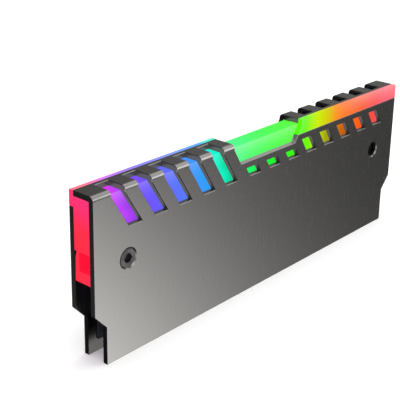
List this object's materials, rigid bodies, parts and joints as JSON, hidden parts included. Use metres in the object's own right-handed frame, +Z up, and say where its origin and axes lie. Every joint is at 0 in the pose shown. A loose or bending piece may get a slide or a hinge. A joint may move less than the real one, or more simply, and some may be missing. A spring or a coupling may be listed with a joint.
{
  "type": "ram heat spreader",
  "caption": "Two slotted, folded metal sheets clamped over a lit milky bar, which grip a memory module between them to spread its heat.",
  "frame": {"origin": "middle of the part, at the height of the two sheets' lower edges", "axes": "+X along the module towards the front face's right end, -Y out of the front face, +Z up from the module's socket to the lit edge"},
  "size_m": [0.136, 0.0086, 0.047],
  "materials": {
    "sheet_metal": "fine satin, anodised dark grey",
    "milky_bar": "milky, lit from inside in a run of colours from red over violet, blue, green and yellow to red",
    "screw_steel": "black oxide, turned",
    "nut_steel": "black oxide",
    "pad_rubber": "soft, matt, blue grey",
    "board_laminate": "black solder resist",
    "led_body": "white package with a clear well",
    "chip_resin": "moulded black resin",
    "capacitor_ceramic": "brown ceramic",
    "resistor_ceramic": "black coat over white ceramic",
    "socket_plastic": "natural moulded plastic",
    "pin_metal": "plated"
  },
  "bodies": {
    "root": {"front_plate": "sheet_metal", "back_plate": "sheet_metal", "light_bar": "milky_bar", "clamp_screws": "screw_steel", "press_nuts": "nut_steel", "front_thermal_pad": "pad_rubber", "back_thermal_pad": "pad_rubber", "led_board": "board_laminate", "led_controller": "chip_resin", "capacitors": "capacitor_ceramic", "resistors": "resistor_ceramic", "power_socket": "socket_plastic", "socket_pins": "pin_metal", "led_01": "led_body", "led_02": "led_body", "led_03": "led_body", "led_04": "led_body", "led_05": "led_body", "led_06": "led_body", "led_07": "led_body", "led_08": "led_body", "led_09": "led_body", "led_10": "led_body"}
  },
  "joints": []
}
